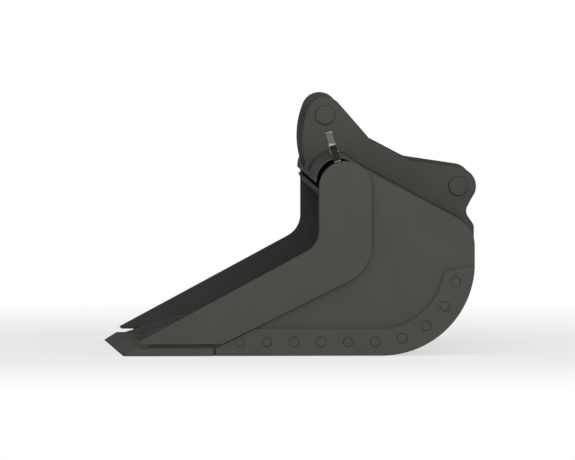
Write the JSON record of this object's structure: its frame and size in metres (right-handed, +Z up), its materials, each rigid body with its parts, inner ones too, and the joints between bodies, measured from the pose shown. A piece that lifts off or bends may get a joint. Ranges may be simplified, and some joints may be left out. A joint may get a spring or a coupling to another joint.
{
  "type": "skeleton bucket",
  "caption": "Skeleton bucket for an excavator, with a sieve floor of flats and cross rods, a torsion tube, coupler ears with fixed pins and a sprung lifting hook.",
  "frame": {"origin": "bottom centre of the bounding box, on the ground under the middle of the bucket", "axes": "-X towards the cutting edge, +Y across the width, +Z up, with the floor level"},
  "size_m": [1.1435, 1.25, 0.805],
  "materials": {
    "dark_paint": "satin",
    "edge_steel": "satin",
    "galvanised_steel": "galvanised",
    "latch_sheet": "black",
    "zinc_pin": "zinc",
    "spring_steel": "plain"
  },
  "bodies": {
    "bucket": {"cutting_edge": "edge_steel", "seat_plate": "dark_paint", "side_plate_right": "dark_paint", "side_plate_left": "dark_paint", "side_band_right": "dark_paint", "side_band_left": "dark_paint", "wear_strip_right": "dark_paint", "wear_strip_left": "dark_paint", "main_rib_right": "dark_paint", "main_rib_left": "dark_paint", "grid_bar_1": "dark_paint", "grid_bar_2": "dark_paint", "grid_bar_3": "dark_paint", "grid_bar_4": "dark_paint", "grid_bar_5": "dark_paint", "grid_bar_6": "dark_paint", "grid_bar_7": "dark_paint", "grid_bar_8": "dark_paint", "grid_bar_9": "dark_paint", "cross_rod_1": "dark_paint", "cross_rod_2": "dark_paint", "cross_rod_3": "dark_paint", "cross_rod_4": "dark_paint", "cross_rod_5": "dark_paint", "cross_rod_6": "dark_paint", "cross_rod_7": "dark_paint", "cross_rod_8": "dark_paint", "cross_rod_9": "dark_paint", "cross_rod_10": "dark_paint", "torsion_tube": "dark_paint", "roof_plate": "dark_paint", "ear_right": "dark_paint", "ear_left": "dark_paint", "front_pin": "dark_paint", "rear_pin": "dark_paint", "pin_weld_rings": "dark_paint", "lifting_hook": "galvanised_steel", "latch_pin": "zinc_pin", "latch_spring": "spring_steel"},
    "latch": {"hook_latch": "latch_sheet"}
  },
  "joints": [
    {"name": "hook_latch_hinge", "type": "hinge", "parent": "bucket", "child": "latch", "pos_m": [0.10303, -0.578, 0.64537], "axis": [-0.9537, 0, -0.3007], "range_deg": [0, 60], "stiffness_Nm_per_rad": 0.05, "springref_deg": -20.05}
  ]
}
